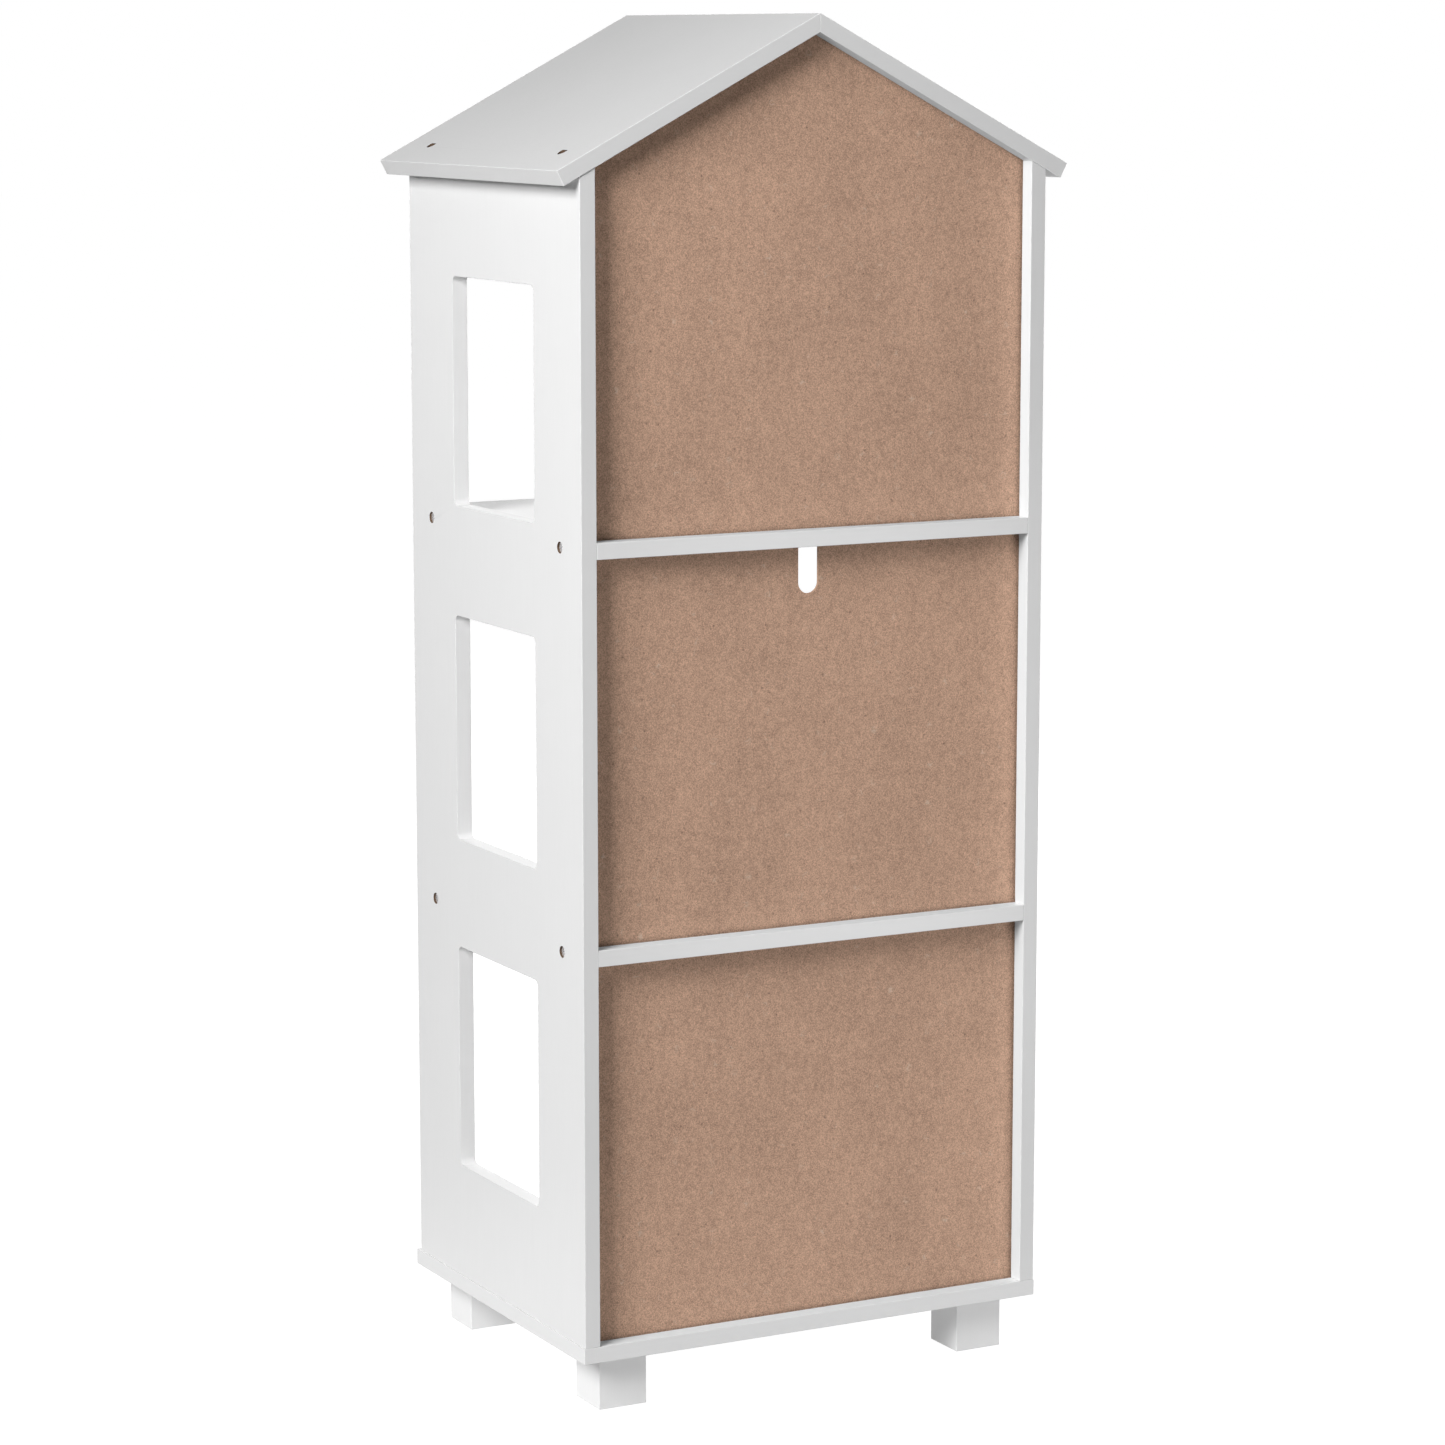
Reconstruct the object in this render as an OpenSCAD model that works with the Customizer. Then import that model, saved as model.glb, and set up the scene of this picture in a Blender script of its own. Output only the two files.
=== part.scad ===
// Tall wooden dollhouse: three rooms between two side panels, under a pitched roof, on a base with feet.
// Millimetres, +Z up. The open play side faces -Y and the closed back faces +Y.
// The origin is on the floor, under the middle of the overall box.
// Left and right are those of someone who faces the open play side.

/* [House] */
// Width over the outer faces of the two side panels
house_w = 476; // [420:1:560]
// Depth of the side panels and shelves, front to back
house_d = 366; // [320:1:420]
// Thickness of every painted board
board = 15; // [14:0.5:18]
// Height from one floor to the next
storey_h = 366.5; // [340:0.5:380]
// Height of a side panel at its outer face
wall_h = 1053.5; // [1040:0.5:1120]

/* [Roof] */
// Slope of the roof, in degrees
roof_slope = 27.5; // [24:0.5:32]
// Roof beyond a side panel's outer face, measured along the slope
eave = 17.4; // [12:0.2:30]
// Roof beyond the open front
roof_front = 17; // [8:1:30]
// Roof beyond the back
roof_rear = 1; // [0:0.5:4]

/* [Base and feet] */
// Base beyond a side panel's outer face
base_side = 1; // [0:0.5:10]
// Base beyond the open front
base_front = 8; // [0:1:12]
// Width and depth of a square foot
foot_w = 48; // [40:1:60]
// Height of a foot
foot_h = 52; // [45:1:80]
// Foot in from the base's side edge
foot_in_side = 25; // [20:1:40]
// Foot in from the base's rear edge
foot_in_rear = 21; // [15:1:40]
// Foot in from the base's front edge
foot_in_front = 24; // [15:1:40]

/* [Windows] */
// Window width, front to back
window_w = 174; // [120:1:200]
// Window height
window_h = 213; // [150:1:220]
// Radius of a window's corners
window_r = 6; // [3:0.5:20]
// Lowest window sill above the base
sill_h = 109; // [60:1:120]
// Height from one sill to the next
window_pitch = 316.5; // [300:0.5:320]

/* [Back] */
// Thickness of a back panel
back_t = 3; // [2.5:0.1:4]
// Outer wall of the back panels' grooves, in from the boards' rear edges
groove_in = 15.5; // [8:0.5:30]
// Width of the grooves
groove_w = 5.5; // [4:0.1:6]
// Depth of the grooves
groove = 6; // [4:0.5:6]
// Play between a back panel's edge and the bottom of its groove
groove_play = 0.5; // [0.3:0.1:1]
// Width of the round-ended notch at the top of the middle back panel
notch_w = 21; // [15:1:40]
// Height of the notch below the upper shelf
notch_h = 44.7; // [30:0.1:80]

/* [Board screws] */
// Length of a board screw
screw_l = 50; // [40:5:50]
// Screw axis in from the front and rear edges of a side panel
screw_in = 44; // [30:1:70]
// Depth from a side panel's face to the screw's head
head_recess = 2; // [0.5:0.5:3]
// Depth from the roof's top face, on the hole's axis, to the screw's head
roof_recess = 7; // [4:0.5:8]
// Rear roof hole in front of the boards' rear edges
roof_hole_rear = 47.5; // [30:0.5:70]
// Distance between a roof board's two holes
roof_hole_gap = 281; // [200:1:300]

/* [Hidden] */

$fn = 48;
// Cutters run this far past the faces they open
past = 1;

// Planes across the house
outer_x = house_w / 2;
inner_x = outer_x - board;
mid_x = outer_x - board / 2;
base_x = outer_x + base_side;

// Planes front to back: the roof, the deepest piece, is centred on the origin
roof_d = house_d + roof_front + roof_rear;
roof_y1 = roof_d / 2;
rear_y = roof_y1 - roof_rear;
front_y = rear_y - house_d;
centre_y = (front_y + rear_y) / 2;
base_y0 = front_y - base_front;
// The back panels lie against their grooves' front walls
back_y = rear_y - groove_in - groove_w;

// Middles of the feet, out from the house's middle plane and front to back
foot_x = base_x - foot_in_side - foot_w / 2;
foot_ys = [base_y0 + foot_in_front + foot_w / 2, rear_y - foot_in_rear - foot_w / 2];

// Heights of the floors
floor_z = foot_h + board;
lower_floor_z = floor_z + storey_h;
upper_floor_z = lower_floor_z + storey_h;
wall_top = floor_z + wall_h;

// Roof section: the underside passes through the side panels' outer top edges
function roof_under(x) = wall_top + (outer_x - x) * tan(roof_slope);
roof_rise = board / cos(roof_slope);
eave_under = [outer_x + eave * cos(roof_slope), wall_top - eave * sin(roof_slope)];
eave_top = eave_under + board * [sin(roof_slope), cos(roof_slope)];

// Board screws: flat head with a hex socket, conical neck, 7 mm shank
head_d = 10;
head_h = 3;
neck_h = 1.5;
shank_d = 7;
tip_h = 5;
tip_d = 4;
hex_across_flats = 4;
hex_depth = 2.4;
// The head's hole is wider than the head, and the shank's just clears it
head_hole_d = 10.7;
shank_play = 0.05;
screw_ys = [front_y + screw_in, rear_y - screw_in];
roof_hole_ys = [rear_y - roof_hole_rear - roof_hole_gap, rear_y - roof_hole_rear];

// Foot screws: countersunk, two in each foot, driven down through the base
foot_screw_l = 45;
foot_screw_d = 4;
foot_screw_head_d = 8;
foot_screw_gap = 24;
slot_w = 1;
slot_l = 4.6;
slot_h = 1.6;

// Dowels, with chamfered ends
dowel_d = 8;
dowel_l = 30;
dowel_in_face = 10;
dowel_ys = [centre_y - 60, centre_y + 60];
ridge_dowel_d = 6;
ridge_dowel_l = 24;
ridge_dowel_ys = [-130, 0, 130];
ridge_dowel_z = roof_under(0) + 5.2;
dowel_chamfer = 0.8;
// Glue space past each end of a dowel
dowel_end_play = 0.5;

paint = "white";
raw_board = "#A68C78";
steel = "silver";
beech = "#D9B88A";

// ---- Fasteners, each with its head's top at the origin and its shank along -Z ----

module board_screw() {
    head_r = head_d / 2;
    shank_r = shank_d / 2;
    color(steel)
        difference() {
            rotate_extrude()
                polygon([
                    [0, 0], [head_r, 0], [head_r, -head_h], [shank_r, -head_h - neck_h],
                    [shank_r, tip_h - screw_l], [tip_d / 2, -screw_l], [0, -screw_l]
                ]);
            translate([0, 0, -hex_depth])
                cylinder(d = hex_across_flats / cos(30), h = hex_depth + past, $fn = 6);
        }
}

// Stepped hole for a board screw: head's clearance up to the face, conical seat, shank
module board_screw_hole(recess) {
    hole_r = head_hole_d / 2;
    shank_r = shank_d / 2 + shank_play;
    rotate_extrude()
        polygon([
            [0, recess + past], [hole_r, recess + past], [hole_r, -head_h], [head_d / 2, -head_h],
            [shank_r, -head_h - neck_h], [shank_r, -screw_l - past], [0, -screw_l - past]
        ]);
}

module foot_screw() {
    head_r = foot_screw_head_d / 2;
    shank_r = foot_screw_d / 2;
    neck = head_r - shank_r;
    color(steel)
        difference() {
            rotate_extrude()
                polygon([
                    [0, 0], [head_r, 0], [shank_r, -neck],
                    [shank_r, tip_h - foot_screw_l], [0, -foot_screw_l]
                ]);
            for (a = [0, 90])
                rotate([0, 0, a])
                    translate([-slot_l / 2, -slot_w / 2, -slot_h])
                        cube([slot_l, slot_w, slot_h + past]);
        }
}

module foot_screw_hole() {
    head_r = foot_screw_head_d / 2;
    shank_r = foot_screw_d / 2 + shank_play;
    neck = head_r - shank_r;
    rotate_extrude()
        polygon([
            [0, past], [head_r, past], [head_r, 0], [shank_r, -neck],
            [shank_r, -foot_screw_l - past], [0, -foot_screw_l - past]
        ]);
}

// Dowel centred on the origin, along Z
module dowel(d, l) {
    color(beech)
        rotate_extrude()
            polygon([
                [0, -l / 2], [d / 2 - dowel_chamfer, -l / 2], [d / 2, dowel_chamfer - l / 2],
                [d / 2, l / 2 - dowel_chamfer], [d / 2 - dowel_chamfer, l / 2], [0, l / 2]
            ]);
}

module dowel_hole(d, l) {
    cylinder(d = d + 2 * shank_play, h = l + 2 * dowel_end_play, center = true);
}

// ---- Where the fasteners go: each module puts its children at every place of one joint ----

// Ends of the shelf whose top is at floor height z
module at_shelf_screws(z) {
    for (side = [-1, 1], y = screw_ys)
        translate([side * (outer_x - head_recess), y, z - board / 2])
            rotate([0, side * 90, 0])
                children();
}

module at_shelf_dowels(z) {
    for (side = [-1, 1], y = dowel_ys)
        translate([side * (inner_x + dowel_in_face - dowel_l / 2), y, z - board / 2])
            rotate([0, 90, 0])
                children();
}

// Down through the roof into the tops of the side panels
module at_roof_screws() {
    for (side = [-1, 1], y = roof_hole_ys)
        translate([side * mid_x, y, roof_under(mid_x) + roof_rise - roof_recess])
            children();
}

// Up through the base into the bottoms of the side panels
module at_base_screws() {
    for (side = [-1, 1], y = screw_ys)
        translate([side * mid_x, y, foot_h + head_recess])
            rotate([180, 0, 0])
                children();
}

module at_base_dowels() {
    for (side = [-1, 1], y = dowel_ys)
        translate([side * mid_x, y, floor_z - dowel_in_face + dowel_l / 2])
            children();
}

module at_feet() {
    for (side = [-1, 1], y = foot_ys)
        translate([side * foot_x, y, 0])
            children();
}

module at_foot_screws() {
    at_feet()
        for (dx = [-1, 1])
            translate([dx * foot_screw_gap / 2, 0, floor_z])
                children();
}

module at_ridge_dowels() {
    for (y = ridge_dowel_ys)
        translate([0, y, ridge_dowel_z])
            rotate([0, 90, 0])
                children();
}

// ---- Shapes that several boards share ----

// Draws an outline of X and Z as a board of thickness t, from y0 towards +Y
module upright(y0, t) {
    translate([0, y0 + t, 0])
        rotate([90, 0, 0])
            linear_extrude(t)
                children();
}

// Rectangle with round corners, its lower left corner at the origin
module rounded_rect(w, h, r) {
    translate([r, 0])
        square([w - 2 * r, h]);
    translate([0, r])
        square([w, h - 2 * r]);
    for (x = [r, w - r], y = [r, h - r])
        translate([x, y])
            circle(r);
}

// Outline of a room's back, from floor height z up to the ceiling, reaching into the grooves
module room_back(z, reach) {
    x = inner_x + reach;
    translate([-x, z - reach])
        square([2 * x, storey_h - board + 2 * reach]);
}

// Outline of the top room's back, which follows the roof
module gable_back(reach) {
    x = inner_x + reach;
    lift = reach / cos(roof_slope);
    z0 = upper_floor_z - reach;
    polygon([
        [-x, z0], [x, z0], [x, roof_under(x) + lift],
        [0, roof_under(0) + lift], [-x, roof_under(x) + lift]
    ]);
}

// ---- Painted boards ----

// Side panel at +X: top bevelled to the roof's slope, three windows, groove for the back
module side_panel() {
    difference() {
        upright(front_y, house_d)
            polygon([
                [inner_x, floor_z], [outer_x, floor_z],
                [outer_x, wall_top], [inner_x, roof_under(inner_x)]
            ]);
        for (i = [0 : 2])
            translate([inner_x - past, centre_y - window_w / 2, floor_z + sill_h + i * window_pitch])
                rotate([90, 0, 90])
                    linear_extrude(board + 2 * past)
                        rounded_rect(window_w, window_h, window_r);
        translate([inner_x - past, back_y, floor_z - past])
            cube([groove + past, groove_w, wall_h + board + 2 * past]);
        for (z = [lower_floor_z, upper_floor_z]) {
            at_shelf_screws(z)
                board_screw_hole(head_recess);
            at_shelf_dowels(z)
                dowel_hole(dowel_d, dowel_l);
        }
        at_roof_screws()
            board_screw_hole(roof_recess);
        at_base_screws()
            board_screw_hole(head_recess);
        at_base_dowels()
            dowel_hole(dowel_d, dowel_l);
    }
}

module side_panel_right() {
    color(paint)
        side_panel();
}

module side_panel_left() {
    color(paint)
        mirror([1, 0, 0])
            side_panel();
}

module base_panel() {
    reach_x = inner_x + groove;
    color(paint)
        difference() {
            translate([-base_x, base_y0, foot_h])
                cube([2 * base_x, rear_y - base_y0, board]);
            translate([-reach_x, back_y, floor_z - groove])
                cube([2 * reach_x, groove_w, groove + past]);
            at_base_screws()
                board_screw_hole(head_recess);
            at_base_dowels()
                dowel_hole(dowel_d, dowel_l);
            at_foot_screws()
                foot_screw_hole();
        }
}

// Shelf with its top at floor height z, grooved above and below for the back panels
module shelf(z) {
    color(paint)
        difference() {
            translate([-inner_x, front_y, z - board])
                cube([2 * inner_x, house_d, board]);
            for (groove_z = [z - groove, z - board - past])
                translate([-inner_x - past, back_y, groove_z])
                    cube([2 * (inner_x + past), groove_w, groove + past]);
            at_shelf_screws(z)
                board_screw_hole(head_recess);
            at_shelf_dowels(z)
                dowel_hole(dowel_d, dowel_l);
        }
}

module lower_shelf() {
    shelf(lower_floor_z);
}

module upper_shelf() {
    shelf(upper_floor_z);
}

// Roof board at +X: mitred at the ridge, cut square across the eave
module roof_panel() {
    difference() {
        upright(-roof_y1, roof_d)
            polygon([[0, roof_under(0)], eave_under, eave_top, [0, roof_under(0) + roof_rise]]);
        upright(back_y, groove_w)
            gable_back(groove);
        at_roof_screws()
            board_screw_hole(roof_recess);
        at_ridge_dowels()
            dowel_hole(ridge_dowel_d, ridge_dowel_l);
    }
}

module roof_panel_right() {
    color(paint)
        roof_panel();
}

module roof_panel_left() {
    color(paint)
        mirror([1, 0, 0])
            roof_panel();
}

// ---- Back panels ----

module back_panel_bottom() {
    color(raw_board)
        upright(back_y, back_t)
            room_back(floor_z, groove - groove_play);
}

module back_panel_middle() {
    notch_z = upper_floor_z - board - notch_h + notch_w / 2;
    color(raw_board)
        upright(back_y, back_t)
            difference() {
                room_back(lower_floor_z, groove - groove_play);
                translate([0, notch_z])
                    circle(d = notch_w);
                translate([-notch_w / 2, notch_z])
                    square([notch_w, notch_h + board]);
            }
}

module back_panel_top() {
    color(raw_board)
        upright(back_y, back_t)
            gable_back(groove - groove_play);
}

// ---- Feet ----

module foot(side, y) {
    color(paint)
        difference() {
            translate([side * foot_x - foot_w / 2, y - foot_w / 2, 0])
                cube([foot_w, foot_w, foot_h]);
            at_foot_screws()
                foot_screw_hole();
        }
}

module foot_front_left() {
    foot(-1, foot_ys[0]);
}

module foot_front_right() {
    foot(1, foot_ys[0]);
}

module foot_rear_left() {
    foot(-1, foot_ys[1]);
}

module foot_rear_right() {
    foot(1, foot_ys[1]);
}

// ---- Fastener groups ----

module lower_shelf_screws() {
    at_shelf_screws(lower_floor_z)
        board_screw();
}

module upper_shelf_screws() {
    at_shelf_screws(upper_floor_z)
        board_screw();
}

module roof_screws() {
    at_roof_screws()
        board_screw();
}

module base_screws() {
    at_base_screws()
        board_screw();
}

module foot_screws() {
    at_foot_screws()
        foot_screw();
}

module lower_shelf_dowels() {
    at_shelf_dowels(lower_floor_z)
        dowel(dowel_d, dowel_l);
}

module upper_shelf_dowels() {
    at_shelf_dowels(upper_floor_z)
        dowel(dowel_d, dowel_l);
}

module base_dowels() {
    at_base_dowels()
        dowel(dowel_d, dowel_l);
}

module ridge_dowels() {
    at_ridge_dowels()
        dowel(ridge_dowel_d, ridge_dowel_l);
}

side_panel_left();
side_panel_right();
base_panel();
lower_shelf();
upper_shelf();
roof_panel_left();
roof_panel_right();
back_panel_bottom();
back_panel_middle();
back_panel_top();
foot_front_left();
foot_front_right();
foot_rear_left();
foot_rear_right();
lower_shelf_screws();
upper_shelf_screws();
roof_screws();
base_screws();
foot_screws();
lower_shelf_dowels();
upper_shelf_dowels();
base_dowels();
ridge_dowels();
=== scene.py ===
"""Looks of the wooden dollhouse.

Eased and painted boards and feet, raw hardboard backs, plated screws, beech dowels, floor, light
and camera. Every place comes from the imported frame. The closed back faces +Y, and the camera looks
at it from behind.
"""

import math

import bmesh
import bpy
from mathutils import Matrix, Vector


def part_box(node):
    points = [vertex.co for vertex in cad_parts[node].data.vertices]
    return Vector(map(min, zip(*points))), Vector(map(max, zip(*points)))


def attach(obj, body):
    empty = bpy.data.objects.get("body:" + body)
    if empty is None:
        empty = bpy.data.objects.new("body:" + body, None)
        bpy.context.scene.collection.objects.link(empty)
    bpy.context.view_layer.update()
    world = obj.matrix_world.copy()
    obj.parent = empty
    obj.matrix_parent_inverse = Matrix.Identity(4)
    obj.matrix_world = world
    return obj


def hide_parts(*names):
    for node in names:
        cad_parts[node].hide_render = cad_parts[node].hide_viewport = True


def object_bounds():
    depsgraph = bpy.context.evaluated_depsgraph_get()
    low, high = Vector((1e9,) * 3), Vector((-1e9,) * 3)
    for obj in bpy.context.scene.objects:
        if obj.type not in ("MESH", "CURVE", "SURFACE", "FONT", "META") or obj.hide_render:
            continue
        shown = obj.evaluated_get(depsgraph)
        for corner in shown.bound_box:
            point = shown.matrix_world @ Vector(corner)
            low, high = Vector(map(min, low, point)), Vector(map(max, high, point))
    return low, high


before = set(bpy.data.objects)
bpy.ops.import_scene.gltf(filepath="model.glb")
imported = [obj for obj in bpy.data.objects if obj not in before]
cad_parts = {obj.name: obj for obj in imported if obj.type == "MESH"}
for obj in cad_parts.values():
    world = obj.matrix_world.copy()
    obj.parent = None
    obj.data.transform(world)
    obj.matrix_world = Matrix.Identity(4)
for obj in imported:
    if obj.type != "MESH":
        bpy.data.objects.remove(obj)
cad_lo, cad_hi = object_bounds()

MM = 0.001

# Radius of the arrises that sanding and paint leave on a board and on a foot
BOARD_EASE = 0.5 * MM
FOOT_EASE = 0.6 * MM
EASE_SEGMENTS = 3
# Vertices closer than this are one vertex, and planes closer than this are one plane
JOIN = 0.005 * MM
# Edges that turn by more than this are arrises, and stay sharp where they aren't eased
ARRIS_ANGLE = math.radians(35)
FLAT_ANGLE = math.radians(0.5)
# Faces are parallel when the dot product of their normals is above this, whatever its sign
PARALLEL = 0.99

# Material indices on a board: its edges and arrises, its two broad faces, its cut inside, and its
# window reveals
EDGE, FACE, CORE, REVEAL = 0, 1, 2, 3

SIDE_PANELS = ["side_panel_left", "side_panel_right"]
FLOORS = ["base_panel", "lower_shelf", "upper_shelf"]
ROOFS = ["roof_panel_left", "roof_panel_right"]
FEET = ["foot_front_left", "foot_front_right", "foot_rear_left", "foot_rear_right"]
BACKS = ["back_panel_bottom", "back_panel_middle", "back_panel_top"]


# ---- Node helpers ----

# Sockets of a Mix node that mixes colours
MIX_FACTOR, MIX_FIRST, MIX_SECOND, MIX_RESULT = 0, 6, 7, 2

# A spot is at full strength out to this part of its radius, and the faintest is this strong
SPOT_CORE = 0.3
FAINTEST_SPOT = 0.35


class Shader:
    """A material's node tree, with short calls to add and link nodes."""

    def __init__(self, name):
        self.material = bpy.data.materials.new(name)
        self.material.use_nodes = True
        self.tree = self.material.node_tree
        self.tree.nodes.clear()
        self.surface = self.add("ShaderNodeBsdfPrincipled")
        output = self.add("ShaderNodeOutputMaterial")
        self.link(self.surface.outputs["BSDF"], output.inputs["Surface"])
        self.place = self.add("ShaderNodeTexCoord").outputs["Object"]

    def add(self, kind, **settings):
        node = self.tree.nodes.new(kind)
        for key, value in settings.items():
            setattr(node, key, value)
        return node

    def link(self, source, target):
        self.tree.links.new(source, target)

    def feed(self, value, target):
        """Links value if it is a socket, and sets it otherwise."""
        if isinstance(value, bpy.types.NodeSocket):
            self.link(value, target)
        else:
            target.default_value = value

    def scaled(self, per_mm, flat=False):
        """The object's own coordinates, with per_mm pattern steps per millimetre along X, Y and Z.

        A flat pattern lies in the XZ plane, and is the same all through the board.
        """
        mapping = self.add("ShaderNodeMapping")
        mapping.inputs["Scale"].default_value = [s / MM for s in per_mm]
        if flat:
            mapping.inputs["Rotation"].default_value = (math.radians(90), 0, 0)
        self.link(self.place, mapping.inputs["Vector"])
        return mapping.outputs["Vector"]

    def noise(self, per_mm, detail=2.0, roughness=0.5):
        """Noise around 0.5 with about per_mm features per millimetre along X, Y and Z."""
        node = self.add("ShaderNodeTexNoise")
        node.inputs["Scale"].default_value = 1.0
        node.inputs["Detail"].default_value = detail
        node.inputs["Roughness"].default_value = roughness
        self.link(self.scaled(per_mm), node.inputs["Vector"])
        return node.outputs["Fac"]

    def spots(self, spacing, radius, share):
        """Soft round spots on a board that faces Y, 0 to 1, with spacing and radius in millimetres.

        Only this share of the places has a spot, and the spots aren't all as strong.
        """
        node = self.add("ShaderNodeTexVoronoi", voronoi_dimensions="2D")
        node.inputs["Scale"].default_value = 1.0
        self.link(self.scaled([1 / spacing] * 3, flat=True), node.inputs["Vector"])
        split = self.add("ShaderNodeSeparateXYZ")
        self.link(node.outputs["Color"], split.inputs[0])
        present = self.math("LESS_THAN", split.outputs["X"], share)
        rim = radius / spacing
        shape = self.remap(node.outputs["Distance"], SPOT_CORE * rim, rim, 1.0, 0.0)
        strength = self.remap(split.outputs["Y"], 0.0, 1.0, FAINTEST_SPOT, 1.0)
        return self.math("MULTIPLY", self.math("MULTIPLY", shape, present), strength)

    def remap(self, value, low, high, new_low, new_high):
        """value, stretched from low..high to new_low..new_high and held inside it."""
        node = self.add("ShaderNodeMapRange")
        for key, given in zip(("Value", "From Min", "From Max", "To Min", "To Max"),
                              (value, low, high, new_low, new_high)):
            self.feed(given, node.inputs[key])
        return node.outputs["Result"]

    def math(self, operation, a, b):
        node = self.add("ShaderNodeMath", operation=operation)
        self.feed(a, node.inputs[0])
        self.feed(b, node.inputs[1])
        return node.outputs[0]

    def total(self, *values):
        """The sum of several values."""
        result = values[0]
        for value in values[1:]:
            result = self.math("ADD", result, value)
        return result

    def blend(self, amount, first, second):
        """Colour first, mixed with second by amount."""
        node = self.add("ShaderNodeMix", data_type="RGBA")
        self.feed(amount, node.inputs[MIX_FACTOR])
        self.feed(first, node.inputs[MIX_FIRST])
        self.feed(second, node.inputs[MIX_SECOND])
        return node.outputs[MIX_RESULT]

    def spread(self, noise, low, high):
        """Noise with nearly all of its range brought to low..high."""
        return self.remap(noise, 0.3, 0.7, low, high)

    def toned(self, base, tone):
        """Colour base with its brightness multiplied by tone."""
        node = self.add("ShaderNodeVectorMath", operation="SCALE")
        self.feed(base, node.inputs[0])
        self.feed(tone, node.inputs["Scale"])
        return node.outputs[0]

    def bump(self, height, depth):
        """Raises the surface by height times depth, in metres."""
        node = self.add("ShaderNodeBump")
        node.inputs["Strength"].default_value = 1.0
        node.inputs["Distance"].default_value = depth
        self.link(height, node.inputs["Height"])
        self.link(node.outputs["Normal"], self.surface.inputs["Normal"])


def opaque(red, green, blue):
    return (red, green, blue, 1.0)


# ---- Materials ----

WHITE = (1.0, 1.0, 1.0)
PAINT = (0.80, 0.80, 0.80)
# The edges and arrises of the side panels and roof boards get a darker copy of the paint: painted
# shade on those edges
SHADED_EDGE_PAINT = (0.76, 0.76, 0.76)
# The broad faces of the shelves and base get a lighter copy of the paint: painted light on the
# ledges
LIT_FLOOR_PAINT = (0.87, 0.87, 0.87)
FOOT_PAINT = (0.87, 0.87, 0.87)
# The window reveals get a lighter copy of the paint: painted light in the windows
LIT_REVEAL_PAINT = (0.89, 0.89, 0.89)
# Raw cut board, darker than its own brown: painted shade in the holes and grooves
RAW_FIBREBOARD_AND_SHADE = (0.14, 0.09, 0.06)
HARDBOARD = (0.532, 0.340, 0.242)
DARK_FLECK = (0.13, 0.08, 0.06)
PALE_FIBRE = (0.74, 0.60, 0.48)
ZINC = (0.84, 0.84, 0.85)
BEECH = (0.56, 0.37, 0.20)
# Specular IOR Level of the satin paint, and of the duller shelves and base
SATIN = 0.5
DULL = 0.1
# Light that the hardboard throws on the white paint has its warm cast taken out, as in a product
# picture
HARDBOARD_BOUNCE = (0.34, 0.34, 0.34)

# Noise features per millimetre along X, Y and Z. Streaks are long along their smallest number.
UPRIGHT_STREAKS = (0.3, 0.3, 0.02)
LEVEL_STREAKS = (0.02, 0.3, 0.3)
FOOT_STREAKS = (0.5, 0.5, 0.02)
PAINT_CLOUD = (0.012, 0.012, 0.012)
ROLLER_TEXTURE = (0.9, 0.9, 0.9)

# How much the paint's clouds and streaks lighten or darken it, and how deep its texture is
PAINT_VARIATION = 0.006
PAINT_RELIEF = 0.012 * MM

# Spacing, radius and share of the dark flecks in the hardboard, small ones and larger ones
FLECKS = ((10, 0.9, 0.35), (31, 1.5, 0.6))
FLECK_STRENGTH = 0.65
FIBRE_STRENGTH = 0.45


def paint_material(name, streaks, paint=PAINT, gloss=SATIN):
    """White paint, a little cloudy, with the roller's fine texture and faint streaks one way."""
    shader = Shader(name)
    cloud = shader.spread(shader.noise(PAINT_CLOUD, 3), -PAINT_VARIATION, PAINT_VARIATION)
    grain = shader.spread(shader.noise(streaks, 3, 0.6), -PAINT_VARIATION, PAINT_VARIATION)
    tone = shader.total(cloud, grain, 1.0)
    shader.link(shader.toned(paint, tone), shader.surface.inputs["Base Color"])
    texture = shader.noise(ROLLER_TEXTURE, 3, 0.6)
    shader.link(shader.spread(texture, 0.19, 0.25), shader.surface.inputs["Roughness"])
    shader.surface.inputs["IOR"].default_value = 1.47
    shader.surface.inputs["Specular IOR Level"].default_value = gloss
    lines = shader.noise(streaks, 2, 0.5)
    shader.bump(shader.total(texture, lines), PAINT_RELIEF)
    return shader.material


def raw_board_and_shade_material():
    """Cut fibreboard, as in the drilled holes and the sawn grooves: its own brown, made darker as
    painted shade in them.
    """
    shader = Shader("raw_fibreboard_core_and_painted_shade")
    fuzz = shader.noise((1.6, 1.6, 1.6), 4, 0.7)
    tone = shader.spread(fuzz, 0.82, 1.15)
    shader.link(shader.toned(RAW_FIBREBOARD_AND_SHADE, tone), shader.surface.inputs["Base Color"])
    shader.surface.inputs["Roughness"].default_value = 0.95
    shader.surface.inputs["Specular IOR Level"].default_value = 0.2
    shader.bump(fuzz, 0.08 * MM)
    return shader.material


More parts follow.
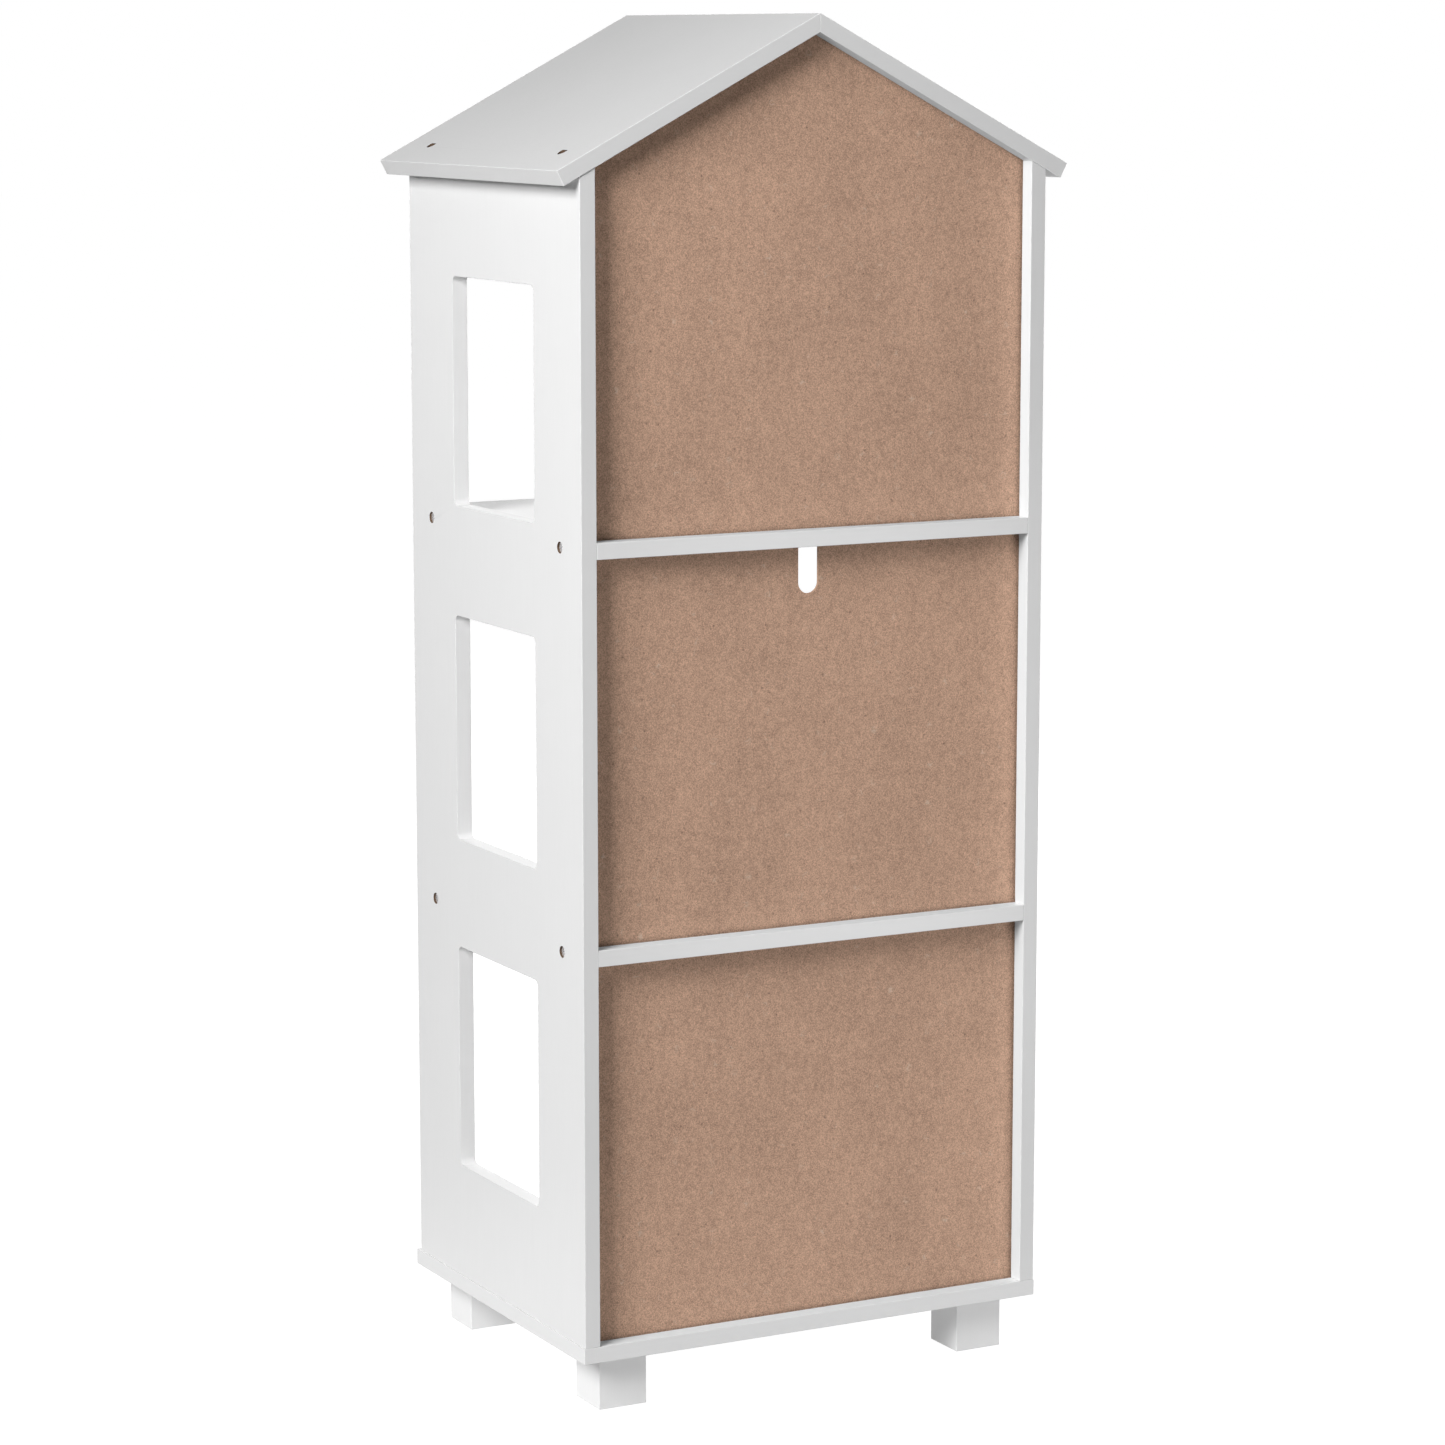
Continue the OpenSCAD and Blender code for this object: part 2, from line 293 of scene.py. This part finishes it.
def hardboard_material():
    """Thin hardboard, raw, mottled and flecked, with white foil towards the rooms."""
    shader = Shader("hardboard_back")
    fibres = shader.noise((0.95, 0.95, 0.85), 3, 0.7)
    clumps = shader.noise((0.14, 0.14, 0.10), 3, 0.6)
    cloud = shader.noise((0.020, 0.020, 0.012), 3, 0.5)
    tone = shader.total(
        shader.remap(fibres, 0.2, 0.8, -0.64, 0.64),
        shader.remap(clumps, 0.2, 0.8, -0.12, 0.12),
        shader.remap(cloud, 0.2, 0.8, -0.09, 0.09),
        1.0,
    )
    raw = shader.toned(HARDBOARD, tone)
    for spacing, radius, share in FLECKS:
        fleck = shader.math("MULTIPLY", shader.spots(spacing, radius, share), FLECK_STRENGTH)
        raw = shader.blend(fleck, raw, opaque(*DARK_FLECK))
    # Pale fibres are short pieces of a noise's contour lines
    from_middle = shader.total(shader.noise((0.11, 0.11, 0.11), 1, 0.5), -0.5)
    contour = shader.math("ABSOLUTE", from_middle, 0.0)
    line = shader.remap(contour, 0.010, 0.035, 1.0, 0.0)
    fibre = shader.math("MULTIPLY", line, shader.spots(19, 4.5, 0.4))
    faded = shader.math("MULTIPLY", fibre, FIBRE_STRENGTH)
    raw = shader.blend(faded, raw, opaque(*PALE_FIBRE))
    # The face towards the rooms is the one whose normal points to -Y
    split = shader.add("ShaderNodeSeparateXYZ")
    shader.link(shader.add("ShaderNodeNewGeometry").outputs["Normal"], split.inputs[0])
    front = shader.math("LESS_THAN", split.outputs["Y"], -0.5)
    ray = shader.add("ShaderNodeLightPath").outputs
    bounce = shader.math("MAXIMUM", ray["Is Diffuse Ray"], ray["Is Glossy Ray"])
    raw = shader.blend(bounce, raw, opaque(*HARDBOARD_BOUNCE))
    shader.link(shader.blend(front, raw, opaque(*PAINT)), shader.surface.inputs["Base Color"])
    shader.link(shader.remap(front, 0, 1, 0.85, 0.3), shader.surface.inputs["Roughness"])
    shader.surface.inputs["Specular IOR Level"].default_value = 0.15
    shader.bump(shader.math("MULTIPLY", fibres, shader.remap(front, 0, 1, 1, 0.1)), 0.05 * MM)
    return shader.material


def steel_material():
    """Bright zinc plate, faintly mottled."""
    shader = Shader("zinc_plate")
    cloud = shader.noise((0.8, 0.8, 0.8), 3, 0.6)
    tone = shader.spread(cloud, 0.9, 1.06)
    shader.link(shader.toned(ZINC, tone), shader.surface.inputs["Base Color"])
    shader.surface.inputs["Metallic"].default_value = 0.6
    shader.link(shader.spread(cloud, 0.22, 0.34), shader.surface.inputs["Roughness"])
    return shader.material


def beech_material():
    """Raw beech with its short flecks along the dowel."""
    shader = Shader("raw_beech")
    grain = shader.noise((0.1, 1.2, 0.1), 3, 0.6)
    tone = shader.spread(grain, 0.88, 1.08)
    shader.link(shader.toned(BEECH, tone), shader.surface.inputs["Base Color"])
    shader.surface.inputs["Roughness"].default_value = 0.6
    shader.bump(grain, 0.04 * MM)
    return shader.material


# ---- Eased boards ----

def width_of(face):
    """How far a face reaches along X."""
    along = [v.co.x for v in face.verts]
    return max(along) - min(along)


def eased(node, radius, edge_paint, face_paint, lit_reveal_paint=None):
    """Replaces a CAD board or foot with a copy that has rounded, painted arrises.

    Drilled and sawn faces show raw board, darkened as painted shade. A side panel is given a lighter
    paint for its window reveals, which are the inner faces that go right through it along X; it is
    painted light.
    """
    form = bmesh.new()
    form.from_mesh(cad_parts[node].data)
    bmesh.ops.remove_doubles(form, verts=form.verts, dist=JOIN)
    bmesh.ops.dissolve_limit(form, angle_limit=FLAT_ANGLE, verts=form.verts, edges=form.edges)
    corners = [v.co.copy() for v in form.verts]
    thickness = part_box(node)[1].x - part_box(node)[0].x
    broad = max(form.faces, key=lambda f: f.calc_area()).normal.copy()
    skin = set()
    for face in form.faces:
        start = face.verts[0].co
        outside = max((c - start).dot(face.normal) for c in corners)
        if outside < JOIN:
            face.material_index = FACE if abs(face.normal.dot(broad)) > PARALLEL else EDGE
            skin.add(face)
        elif lit_reveal_paint and width_of(face) > thickness - JOIN:
            face.material_index = REVEAL
            skin.add(face)
        else:
            face.material_index = CORE
    arrises = [
        e for e in form.edges
        if len(e.link_faces) == 2
        and skin.issuperset(e.link_faces)
        and e.calc_face_angle() > ARRIS_ANGLE
    ]
    bmesh.ops.bevel(
        form, geom=arrises, affect="EDGES", offset=radius, offset_type="OFFSET",
        profile_type="SUPERELLIPSE", profile=0.5, segments=EASE_SEGMENTS,
        clamp_overlap=False, material=EDGE,
    )
    mesh = bpy.data.meshes.new("painted_" + node)
    form.to_mesh(mesh)
    form.free()
    mesh.shade_smooth()
    mesh.set_sharp_from_angle(angle=ARRIS_ANGLE)
    for material in filter(None, (edge_paint, face_paint, raw_core_and_shade, lit_reveal_paint)):
        mesh.materials.append(material)
    piece = bpy.data.objects.new("painted_" + node, mesh)
    bpy.context.scene.collection.objects.link(piece)
    flat_faces = piece.modifiers.new("flat_faces", "WEIGHTED_NORMAL")
    flat_faces.weight = 100
    flat_faces.keep_sharp = True
    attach(piece, "root")
    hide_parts(node)


def dress(node, material):
    """Gives a CAD node its finish."""
    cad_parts[node].material_slots[0].material = material


raw_core_and_shade = raw_board_and_shade_material()
upright_paint = paint_material("white_paint_upright", UPRIGHT_STREAKS)
level_paint = paint_material("white_paint_level", LEVEL_STREAKS)
# Darker copies of the paint for the edges of the side panels and roofs, painted shade
shaded_upright_edge_paint = paint_material("white_paint_upright_edge_shaded", UPRIGHT_STREAKS, SHADED_EDGE_PAINT)
shaded_level_edge_paint = paint_material("white_paint_level_edge_shaded", LEVEL_STREAKS, SHADED_EDGE_PAINT)
# A lighter copy of the paint for the window reveals, painted light
lit_reveal_paint = paint_material("white_paint_reveal_lit", UPRIGHT_STREAKS, LIT_REVEAL_PAINT)
# A lighter, duller copy of the paint for the shelves and base, whose lightness is painted light
lit_floor_paint = paint_material("white_paint_floor_lit", LEVEL_STREAKS, LIT_FLOOR_PAINT, DULL)
foot_paint = paint_material("white_paint_on_pine", FOOT_STREAKS, FOOT_PAINT)
hardboard = hardboard_material()
steel = steel_material()
beech = beech_material()

for name in SIDE_PANELS:
    eased(name, BOARD_EASE, shaded_upright_edge_paint, upright_paint, lit_reveal_paint)
for name in FLOORS:
    eased(name, BOARD_EASE, level_paint, lit_floor_paint)
for name in ROOFS:
    eased(name, BOARD_EASE, shaded_level_edge_paint, level_paint)
for name in FEET:
    eased(name, FOOT_EASE, foot_paint, foot_paint)
for name in BACKS:
    dress(name, hardboard)
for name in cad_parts:
    if name.endswith("_screws"):
        dress(name, steel)
    if name.endswith("_dowels"):
        dress(name, beech)


# ---- Floor, light and camera ----

# Name, azimuth, height, distance, width and height of the box in metres, and power in watts
SOFTBOXES = [
    ("key", 116, 2.46, 3.52, 1.9, 1.9, 187),
    ("overhead", 175, 2.55, 1.00, 0.8, 0.8, 6.5),
    ("strip", 206, 0.35, 1.40, 0.45, 0.8, 3.5),
    ("front_fill", 350, 1.01, 2.17, 1.2, 1.2, 5.0),
    ("play_side", 318, 1.15, 3.40, 2.0, 1.8, 54),
    ("left_side", 285, 2.30, 3.20, 1.6, 1.6, 50),
]
# Light that the floor near the house and the backdrop give to the house, where 1 looks white
FLOOR_GLOW = 0.34
BACKDROP_GLOW = 0.0
# The floor's glow fades out between these distances from the middle, in metres
GLOW_FADE = (0.45, 0.85)
# Brightness of the floor's glow to the camera under the house and away from it, and where it
# changes; the dimmer glow under the house is a painted shadow
PAINTED_SHADOW_BRIGHTNESS, OPEN_BRIGHTNESS = 0.96, 1.0
PAINTED_SHADOW_FADE = (0.25, 0.45)
# The floor's own colour to the light that falls on it, and to the camera
FLOOR_GREY, SEEN_FLOOR_GREY = 0.30, 0.15
FLOOR_HALF = 30.0

# The photograph's viewpoint in metres and degrees, and its focal length in millimetres
CAMERA_PLACE = (1.8842, 3.5677, 1.2354)
CAMERA_DIP = 8.99
CAMERA_HEADING = 152.12
FOCAL_LENGTH = 107.1


def floor():
    """A large white floor, as bright as the backdrop, with a faint contact shadow at the house,
    partly real and partly a painted shadow in its glow.
    """
    half = FLOOR_HALF
    corners = [(-half, -half, 0), (half, -half, 0), (half, half, 0), (-half, half, 0)]
    mesh = bpy.data.meshes.new("floor")
    mesh.from_pydata(corners, [], [(0, 1, 2, 3)])
    shader = Shader("pale_floor")
    seen = shader.add("ShaderNodeLightPath").outputs["Is Camera Ray"]
    reach = shader.add("ShaderNodeVectorMath", operation="LENGTH")
    shader.link(shader.place, reach.inputs[0])
    away = reach.outputs["Value"]
    glow = shader.remap(away, *GLOW_FADE, FLOOR_GLOW, 0.0)
    bright = shader.remap(away, *PAINTED_SHADOW_FADE, PAINTED_SHADOW_BRIGHTNESS, OPEN_BRIGHTNESS)
    shader.link(shader.remap(seen, 0, 1, glow, bright), shader.surface.inputs["Emission Strength"])
    grey = shader.remap(seen, 0, 1, FLOOR_GREY, SEEN_FLOOR_GREY)
    shader.link(shader.toned(WHITE, grey), shader.surface.inputs["Base Color"])
    shader.surface.inputs["Roughness"].default_value = 0.9
    shader.surface.inputs["Specular IOR Level"].default_value = 0.2
    shader.surface.inputs["Emission Color"].default_value = opaque(*WHITE)
    mesh.materials.append(shader.material)
    plane = bpy.data.objects.new("floor", mesh)
    bpy.context.scene.collection.objects.link(plane)


def softbox(name, azimuth, height, distance, width, tall, power):
    """An area light aimed at the house's middle. Azimuth 0 is in front of it, and 90 is at +X."""
    lamp = bpy.data.lights.new(name, "AREA")
    lamp.shape = "RECTANGLE"
    lamp.size = width
    lamp.size_y = tall
    lamp.energy = power
    light = bpy.data.objects.new(name, lamp)
    turn = math.radians(azimuth)
    place = Vector((distance * math.sin(turn), -distance * math.cos(turn), height))
    middle = (cad_lo + cad_hi) / 2
    light.location = place
    light.rotation_euler = (middle - place).to_track_quat("-Z", "Y").to_euler()
    bpy.context.scene.collection.objects.link(light)


def backdrop():
    """A backdrop that looks white to the camera and gives the house only its own small glow."""
    world = bpy.data.worlds.new("studio")
    world.use_nodes = True
    tree = world.node_tree
    background = tree.nodes["Background"]
    background.inputs["Color"].default_value = opaque(*WHITE)
    seen = tree.nodes.new("ShaderNodeLightPath").outputs["Is Camera Ray"]
    strength = tree.nodes.new("ShaderNodeMapRange")
    strength.inputs["To Min"].default_value = BACKDROP_GLOW
    strength.inputs["To Max"].default_value = 1.0
    tree.links.new(seen, strength.inputs["Value"])
    tree.links.new(strength.outputs["Result"], background.inputs["Strength"])
    bpy.context.scene.world = world


def camera():
    """The photograph's viewpoint, with a long lens and no shift."""
    lens = bpy.data.cameras.new("camera")
    lens.lens = FOCAL_LENGTH
    lens.clip_end = 100
    view = bpy.data.objects.new("camera", lens)
    view.location = CAMERA_PLACE
    view.rotation_euler = (math.radians(90 - CAMERA_DIP), 0, math.radians(CAMERA_HEADING))
    bpy.context.scene.collection.objects.link(view)
    bpy.context.scene.camera = view


floor()
for light in SOFTBOXES:
    softbox(*light)
backdrop()
camera()
bpy.context.scene.view_settings.view_transform = "Standard"
